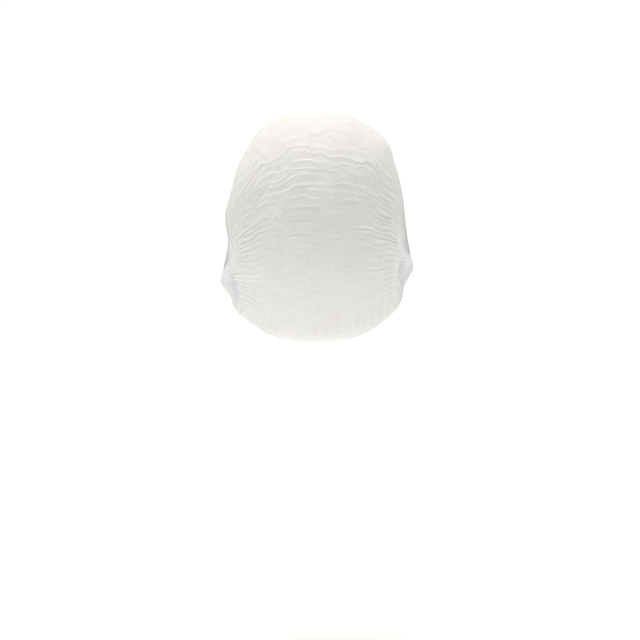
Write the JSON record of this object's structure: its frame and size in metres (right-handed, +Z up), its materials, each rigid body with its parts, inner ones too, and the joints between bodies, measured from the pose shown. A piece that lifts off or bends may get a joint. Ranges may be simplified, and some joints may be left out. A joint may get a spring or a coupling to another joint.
{
  "type": "disposable hair cover cap",
  "caption": "Pleated nonwoven hair cover cap, opened out to its worn form, with elastic in its hems and a welded end over each ear.",
  "frame": {"origin": "the inside of the crown's highest part, where the cap sits on top of the head", "axes": "+Z up, the wearer faces -Y, +X to the wearer's left"},
  "size_m": [0.1742, 0.1963, 0.1959],
  "materials": {
    "cover_cloth": "matt white spunbond nonwoven, thin enough to let a little light through",
    "hem_cloth": "the same nonwoven, folded double",
    "elastic": "off-white covered elastic",
    "welded_cloth": "nonwoven layers pressed and welded together, slightly glossier"
  },
  "bodies": {
    "root": {"crown": "cover_cloth", "hem_front": "hem_cloth", "hem_nape": "hem_cloth", "elastic_front": "elastic", "elastic_nape": "elastic", "end_weld_left": "welded_cloth", "end_weld_right": "welded_cloth"}
  },
  "joints": []
}
